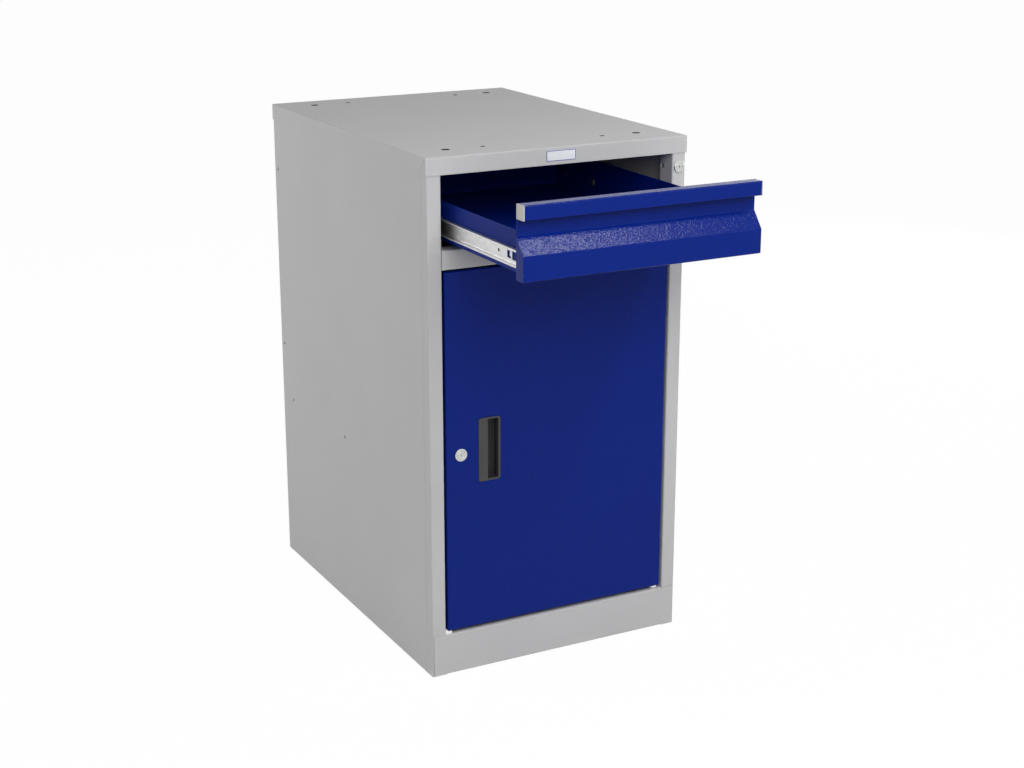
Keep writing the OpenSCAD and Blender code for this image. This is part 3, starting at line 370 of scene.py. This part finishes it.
# One material for each slot of the record
MATERIALS = {
    "grey_steel": powder_coat("grey_powder_coat", **GREY_COAT),
    "blue_steel": powder_coat(
        "blue_powder_coat", BLUE,
        specular=0.09, grain=6.5 * MM, relief=0.34 * MM, roughness=0.2),
    "zinc_steel": zinc_plate("zinc_plated_steel", (0.53, 0.53, 0.53), roughness=0.34),
    "chrome": chrome_plate("chrome_plate", (0.555, 0.57, 0.56), roughness=0.24),
    # The black plastic has painted shade at the bottom of the pull's cup
    "black_plastic": moulded(
        "black_plastic", (0.045, 0.045, 0.044),
        specular=0.35, grain=0.35 * MM, relief=0.02 * MM, roughness=0.48, painted_shade=painted_cup_shade),
    "black_rubber": moulded(
        "black_rubber", (0.02, 0.02, 0.02),
        specular=0.3, grain=0.5 * MM, relief=0.03 * MM, roughness=0.7),
    "white_nylon": moulded(
        "white_nylon", (0.85, 0.85, 0.83),
        specular=0.4, grain=0.4 * MM, relief=0.01 * MM, roughness=0.42),
    "pale_grey_plastic": moulded(
        "pale_grey_plastic", (0.44, 0.43, 0.41),
        specular=0.4, grain=0.4 * MM, relief=0.01 * MM, roughness=0.4),
    "white_enamel": enamel("white_enamel", (0.74, 0.76, 0.78)),
}
BLUE_ENAMEL = enamel("blue_enamel", (0.02, 0.09, 0.42))
# Finishes of single nodes: the top cover's holes get painted shade, the tray is duller than the
# drawer's front
NODE_FINISH = {
    "top_cover": powder_coat("grey_powder_coat_with_painted_hole_shade", **GREY_COAT, painted_shade=painted_hole_shade),
    "drawer_tray": powder_coat(
        "dull_blue_powder_coat", BLUE,
        specular=0.05, grain=1.6 * MM, relief=0.05 * MM, roughness=0.38),
}


def dress_nodes():
    """Give each CAD node its own finish or, where it has none, the material of its slot."""
    for part in frame["record"]["subparts"]:
        mesh = frame["nodes"][part["node"]].data
        mesh.materials.clear()
        mesh.materials.append(NODE_FINISH.get(part["node"], MATERIALS[part["material_slot"]]))


# Outlines, as lists of (u, v) points, and sections, as pairs of an outline and its place w along
# the piece's axis
def ring(centre, half, radius):
    """Rectangle with round corners: a circle where the radius is the half width."""
    points = []
    for quarter, (su, sv) in enumerate([(1, 1), (-1, 1), (-1, -1), (1, -1)]):
        for i in range(QUARTER_STEPS + 1):
            angle = math.pi / 2 * (quarter + i / QUARTER_STEPS)
            points.append((
                centre[0] + su * (half[0] - radius) + radius * math.cos(angle),
                centre[1] + sv * (half[1] - radius) + radius * math.sin(angle)))
    return points


def disc(centre, radius):
    return ring(centre, (radius, radius), radius)


def arc_steps():
    """Angles of a quarter circle, from 0 to a right angle."""
    return [math.pi / 2 * i / EDGE_STEPS for i in range(EDGE_STEPS + 1)]


def rounded(centre, half, radius, w0, w1, edge):
    """Sections of a block from w0 to w1, with its edge at w1 rounded."""
    way = math.copysign(1, w1 - w0)
    rows = [(ring(centre, half, radius), w0)]
    for angle in arc_steps():
        inset = edge * (1 - math.cos(angle))
        corner = max(radius - inset, SMALLEST_R)
        outline = ring(centre, (half[0] - inset, half[1] - inset), corner)
        rows.append((outline, w1 - way * edge * (1 - math.sin(angle))))
    return rows


# Pieces made here, which stand for plain CAD solids
def add_object(name, data):
    made = bpy.data.objects.new(name, data)
    bpy.context.scene.collection.objects.link(made)
    return made


def add_skin(bm, sections, axis, closed):
    """Skin through sections, with its ends filled, or joined to each other if closed."""
    rows = []
    for outline, w in sections:
        spots = [(w, u, v) if axis == "X" else (u, w, v) for u, v in outline]
        rows.append([bm.verts.new(spot) for spot in spots])
    pairs = list(zip(rows, rows[1:]))
    if closed:
        pairs.append((rows[-1], rows[0]))
    else:
        bm.faces.new(rows[0])
        bm.faces.new(rows[-1])
    for a, b in pairs:
        for i in range(len(a)):
            j = (i + 1) % len(a)
            bm.faces.new((a[i], a[j], b[j], b[i]))


def make_piece(name, skins, axis, body, slot, stands_for=None, material=None, closed=False):
    """A piece of one or more skins, which rides on a body and may stand for a CAD node."""
    bm = bmesh.new()
    for sections in skins:
        add_skin(bm, sections, axis, closed)
    bmesh.ops.remove_doubles(bm, verts=bm.verts, dist=MERGE)
    bmesh.ops.recalc_face_normals(bm, faces=bm.faces)
    mesh = bpy.data.meshes.new(name)
    bm.to_mesh(mesh)
    bm.free()
    mesh.shade_smooth()
    mesh.set_sharp_from_angle(angle=SHARP)
    mesh.materials.append(material or MATERIALS[slot])
    piece = add_object(name, mesh)
    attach(piece, body)
    if stands_for:
        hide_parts(stands_for)


def middle_and_half(low, high, axes="xz"):
    """Middle and half size of a box, in the two axes named."""
    a, b = [(getattr(low, axis), getattr(high, axis)) for axis in axes]
    return ((a[0] + a[1]) / 2, (b[0] + b[1]) / 2), ((a[1] - a[0]) / 2, (b[1] - b[0]) / 2)


def make_name_plate():
    """Blank white plate in a thin blue rim."""
    low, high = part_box("name_plate")
    centre, half = middle_and_half(low, high)
    inner = (half[0] - PLATE_RIM, half[1] - PLATE_RIM)
    face = rounded(centre, inner, FACE_CORNER, high.y, low.y + FACE_SUNK, FACE_EDGE)
    make_piece("name_plate_face", [face], "Y", "cabinet", "white_enamel", "name_plate")
    hole = ring(centre, inner, RIM_HOLE_CORNER)
    rim = rounded(centre, half, PLATE_CORNER, high.y, low.y, PLATE_EDGE)
    rim += [(hole, low.y + RIM_BEVEL), (hole, high.y)]
    make_piece(
        "name_plate_rim", [rim], "Y", "cabinet", "white_enamel",
        material=BLUE_ENAMEL, closed=True)


def make_pull():
    """Flush pull: a rim with round edges, a mouth, and a cup that runs behind the rim's wide
    side."""
    low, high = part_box("door_handle")
    centre, half = middle_and_half(low, high)
    skin = low.y + PULL_PROUD
    body = (half[0] - PULL_FLANGE, half[1] - PULL_FLANGE)
    tall = body[1] - PULL_WALL
    sections = rounded(centre, body, INSIDE_R, skin, high.y, INSIDE_R)[::-1]
    sections += rounded(centre, half, PULL_CORNER, skin, low.y, PULL_EDGE)
    right = high.x - MOUTH_IN
    mouth = (right - MOUTH_WIDTH / 2, centre[1])
    for angle in arc_steps():
        grow = MOUTH_EDGE * (1 - math.sin(angle))
        outline = ring(mouth, (MOUTH_WIDTH / 2 + grow, tall + grow), INSIDE_R + grow)
        sections.append((outline, low.y + MOUTH_EDGE * (1 - math.cos(angle))))
    top = skin + PULL_WALL
    bottom = high.y - PULL_WALL
    sections.append((ring(mouth, (MOUTH_WIDTH / 2, tall), INSIDE_R), top))
    left = low.x + PULL_FLANGE + PULL_WALL
    cup = ((left + right) / 2, centre[1])
    sections += rounded(cup, ((right - left) / 2, tall), INSIDE_R, top, bottom, INSIDE_R)
    make_piece("flush_pull", [sections], "Y", "door", "black_plastic", "door_handle")


def thread(centre, radius, start, stop):
    """Ridges and grooves of a threaded barrel."""
    rows = [(disc(centre, radius), start)]
    for i in range(int((stop - start) / THREAD_PITCH)):
        for share, depth in [(0.35, 0.0), (0.6, THREAD_DEPTH), (0.9, 0.0)]:
            rows.append((disc(centre, radius - depth), start + (i + share) * THREAD_PITCH))
    rows.append((disc(centre, radius), stop))
    return rows


def lock_front(centre, radius, bore, face, skin):
    """Front of a lock's body: a rounded collar with a dished face round the plug."""
    # Radius, and depth behind the face in millimetres
    profile = [
        (bore, 0.6), (bore + 0.25 * MM, 0.3), (bore + 0.9 * MM, 0.25),
        (radius - 2.2 * MM, 0.2), (radius - 1.5 * MM, 0.0), (radius - 0.8 * MM, 0.02),
        (radius - 0.3 * MM, 0.2), (radius, 0.6)]
    rows = [(disc(centre, r), face + depth * MM) for r, depth in profile]
    return rows + [(disc(centre, radius), skin)]


def plug_front(centre, radius, face):
    """Front of a plug: a keyway in a flat disc with a turned groove and a chamfer."""
    keyway = ring(centre, KEYWAY_HALF, KEYWAY_CORNER)
    wider = (KEYWAY_HALF[0] + KEYWAY_CHAMFER, KEYWAY_HALF[1] + KEYWAY_CHAMFER)
    rows = [
        (keyway, face + KEYWAY_DEPTH),
        (keyway, face + KEYWAY_CHAMFER),
        (ring(centre, wider, KEYWAY_MOUTH_CORNER), face)]
    # Share of the radius, and depth behind the face in millimetres
    profile = [(0.74, 0.0), (0.78, 0.06), (0.82, 0.06), (0.86, 0.0), (0.95, 0.0), (1.0, 0.25)]
    for share, depth in profile:
        rows.append((disc(centre, radius * share), face + depth * MM))
    return rows


def make_door_lock():
    """Threaded barrel, and the cylinder that turns in it and carries the cam on its square end."""
    low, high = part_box("door_lock_body")
    centre, half = middle_and_half(low, high)
    skin = low.y + LOCK_PROUD
    bore = LOCK_PLUG_R + PLUG_GAP
    sections = lock_front(centre, half[0], bore, low.y, skin)
    sections += thread(centre, LOCK_BARREL_R, skin, high.y)
    sections.append((disc(centre, bore), high.y))
    make_piece(
        "door_lock_barrel", [sections], "Y", "door", "chrome", "door_lock_body", closed=True)

    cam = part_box("door_lock_cam")[0].y
    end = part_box("door_lock_plug")[1].y
    square = ring(centre, (TAIL_HALF, TAIL_HALF), TAIL_CORNER)
    sections = plug_front(centre, LOCK_PLUG_R, low.y + PLUG_SUNK)
    sections += [(disc(centre, LOCK_PLUG_R), cam), (square, cam), (square, end)]
    make_piece("door_lock_cylinder", [sections], "Y", "door_lock", "chrome", "door_lock_plug")


def make_drawer_lock_plug():
    """Plug with a keyway in front, and behind it the disc whose pin moves the bolt."""
    low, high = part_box("drawer_lock_plug")
    centre, half = middle_and_half(low, high)
    back = high.y - CRANK_PIN_L
    front = back - CRANK_DISC_T
    crank_disc = disc(centre, half[0])
    sections = plug_front(centre, DRAWER_PLUG_R, low.y)
    sections += [(disc(centre, DRAWER_PLUG_R), front), (crank_disc, front), (crank_disc, back)]
    crank = (centre[0] + CRANK_AT, centre[1] - CRANK_AT)
    size = (CRANK_PIN_R, CRANK_PIN_R)
    pin = [(disc(crank, CRANK_PIN_R), back - CRANK_PIN_ROOT)]
    pin += rounded(crank, size, CRANK_PIN_R, back, high.y, CRANK_PIN_EDGE)
    make_piece(
        "drawer_lock_cylinder", [sections, pin], "Y", "drawer_lock", "chrome",
        "drawer_lock_plug")


def make_grip_caps():
    """Caps on the grip bar's ends, each with a plug inside the bar."""
    for side, node in [(-1, "grip_cap_left"), (1, "grip_cap_right")]:
        low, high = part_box(node)
        centre, half = middle_and_half(low, high, "yz")
        outer = low.x if side < 0 else high.x
        inside = outer - side * CAP_SHELL
        end = inside - side * CAP_PLUG
        plug = (half[0] - CAP_PLUG_IN, half[1] - CAP_PLUG_IN)
        sections = rounded(centre, plug, CAP_PLUG_CORNER, inside, end, CAP_PLUG_EDGE)[::-1]
        sections += rounded(centre, half, CAP_CORNER, inside, outer, CAP_EDGE)
        make_piece(node + "_moulding", [sections], "X", "drawer", "pale_grey_plastic", node)


def solids_of(node):
    """Lowest and highest corner of each separate solid in a CAD node."""
    bm = bmesh.new()
    bm.from_mesh(frame["nodes"][node].data)
    bmesh.ops.remove_doubles(bm, verts=bm.verts, dist=CAD_MERGE)
    unseen = set(bm.verts)
    boxes = []
    for first in bm.verts:
        if first not in unseen:
            continue
        unseen.remove(first)
        group = [first]
        for vert in group:
            near = {edge.other_vert(vert) for edge in vert.link_edges} & unseen
            unseen -= near
            group.extend(near)
        boxes.append([
            Vector([pick(vert.co[i] for vert in group) for i in range(3)])
            for pick in (min, max)])
    bm.free()
    return boxes


def rivet(low, high, axis):
    """Sections of a rivet with a domed head at both ends, as wide as the box and along its
    axis."""
    centre, half = middle_and_half(low, high, "yz" if axis == "X" else "xz")
    start, stop = (low.x, high.x) if axis == "X" else (low.y, high.y)
    dome = [
        (max(half[0] * math.sin(angle), SMALLEST_R), RIVET_HEAD_T * (1 - math.cos(angle)))
        for angle in arc_steps()]
    shank = disc(centre, RIVET_R)
    rows = [(disc(centre, r), start + depth) for r, depth in dome]
    rows += [(shank, start + RIVET_HEAD_T), (shank, stop - RIVET_HEAD_T)]
    return rows + [(disc(centre, r), stop - depth) for r, depth in dome[::-1]]


def make_rivets():
    for node, axis, body, slot in [
            ("slide_rivets", "X", "cabinet", "zinc_steel"),
            ("runner_rivets", "X", "drawer", "zinc_steel"),
            ("front_rivets", "Y", "drawer", "blue_steel")]:
        skins = [rivet(low, high, axis) for low, high in solids_of(node)]
        make_piece(node + "_domed", skins, axis, body, slot, node)


def make_shelf_pegs():
    """Tubular pegs, open at the outer end, each with a collar on the side panel's inner face."""
    skins = []
    for low, high in solids_of("shelf_pegs"):
        centre, half = middle_and_half(low, high, "yz")
        outer, inner = (low.x, high.x) if low.x < 0 else (high.x, low.x)
        way = math.copysign(1, inner - outer)
        collar = half[0]
        # Radius, and depth behind the outer end
        profile = [
            (PEG_BORE_R, PEG_BORE_DEPTH), (PEG_BORE_R, PEG_CHAMFER),
            (PEG_BORE_R + PEG_CHAMFER, 0.0), (PEG_R, PEG_CHAMFER), (PEG_R, COLLAR_FROM),
            (collar - PEG_CHAMFER, COLLAR_FROM), (collar, COLLAR_FROM + PEG_CHAMFER),
            (collar, COLLAR_TO - COLLAR_CHAMFER), (collar - COLLAR_CHAMFER, COLLAR_TO)]
        rows = [(disc(centre, r), outer + way * depth) for r, depth in profile]
        start = outer + way * COLLAR_TO
        rows += rounded(centre, (PEG_R, PEG_R), PEG_R, start, inner, PEG_EDGE)
        skins.append(rows)
    make_piece("shelf_pegs_tubular", skins, "X", "cabinet", "zinc_steel", "shelf_pegs")


# Stage, lamps and camera
def seen_directly(graph):
    """1 for camera, glossy and transmission rays, and 0 for the rays that light the object."""
    path = graph.add("ShaderNodeLightPath")
    glossy = graph.math(
        "MAXIMUM", path.outputs["Is Glossy Ray"], path.outputs["Is Transmission Ray"])
    return graph.math("MAXIMUM", path.outputs["Is Camera Ray"], glossy)


def make_floor():
    """White floor, which glows a little less than white for the rays that see it."""
    mesh = bpy.data.meshes.new("floor")
    corners = [(-1, -1), (1, -1), (1, 1), (-1, 1)]
    verts = [(x * FLOOR_HALF, y * FLOOR_HALF, -FLOOR_DROP) for x, y in corners]
    mesh.from_pydata(verts, [], [(0, 1, 2, 3)])
    floor = add_object("floor", mesh)
    material = bpy.data.materials.new("floor_white")
    graph = Graph(material)
    matt = graph.add("ShaderNodeBsdfDiffuse", Color=FLOOR_COLOUR)
    glow = graph.add("ShaderNodeEmission", Color=WHITE, Strength=1.0)
    share = graph.math("MULTIPLY", seen_directly(graph), FLOOR_GLOW)
    mix = graph.add("ShaderNodeMixShader")
    graph.set(mix, "0", share)
    graph.set(mix, "1", matt.outputs[0])
    graph.set(mix, "2", glow.outputs[0])
    graph.add("ShaderNodeOutputMaterial", Surface=mix.outputs[0])
    mesh.materials.append(material)


def make_world():
    """World that is white where it is seen, and faint where it lights the object."""
    world = bpy.data.worlds.new("studio")
    graph = Graph(world)
    strength = graph.spread(seen_directly(graph), 0.0, 1.0, AMBIENT, 1.0)
    sky = graph.add("ShaderNodeBackground", Color=WHITE, Strength=strength)
    graph.add("ShaderNodeOutputWorld", Surface=sky.outputs[0])
    bpy.context.scene.world = world


def make_lamp(name, place, aim, width, height, radiance):
    """Rectangular lamp turned to aim, with its brightness given as radiance."""
    light = bpy.data.lights.new(name, "AREA")
    light.shape = "RECTANGLE"
    light.size = width
    light.size_y = height
    light.energy = radiance * math.pi * width * height
    lamp = add_object(name, light)
    lamp.location = place
    lamp.rotation_mode = "QUATERNION"
    lamp.rotation_quaternion = (Vector(aim) - Vector(place)).to_track_quat("-Z", "Y")


def make_camera():
    data = bpy.data.cameras.new("camera")
    data.lens = CAMERA_LENS
    data.sensor_width = CAMERA_SENSOR
    camera = add_object("camera", data)
    camera.location = CAMERA_PLACE
    camera.rotation_euler = (math.pi / 2 - CAMERA_DIP, 0.0, CAMERA_TURN)
    bpy.context.scene.camera = camera


dress_nodes()
make_name_plate()
make_pull()
make_door_lock()
make_drawer_lock_plug()
make_grip_caps()
make_rivets()
make_shelf_pegs()
make_floor()
make_world()
for lamp_row in LAMPS:
    make_lamp(*lamp_row)
make_camera()
bpy.context.scene.view_settings.view_transform = "Standard"

bpy.context.view_layer.update()
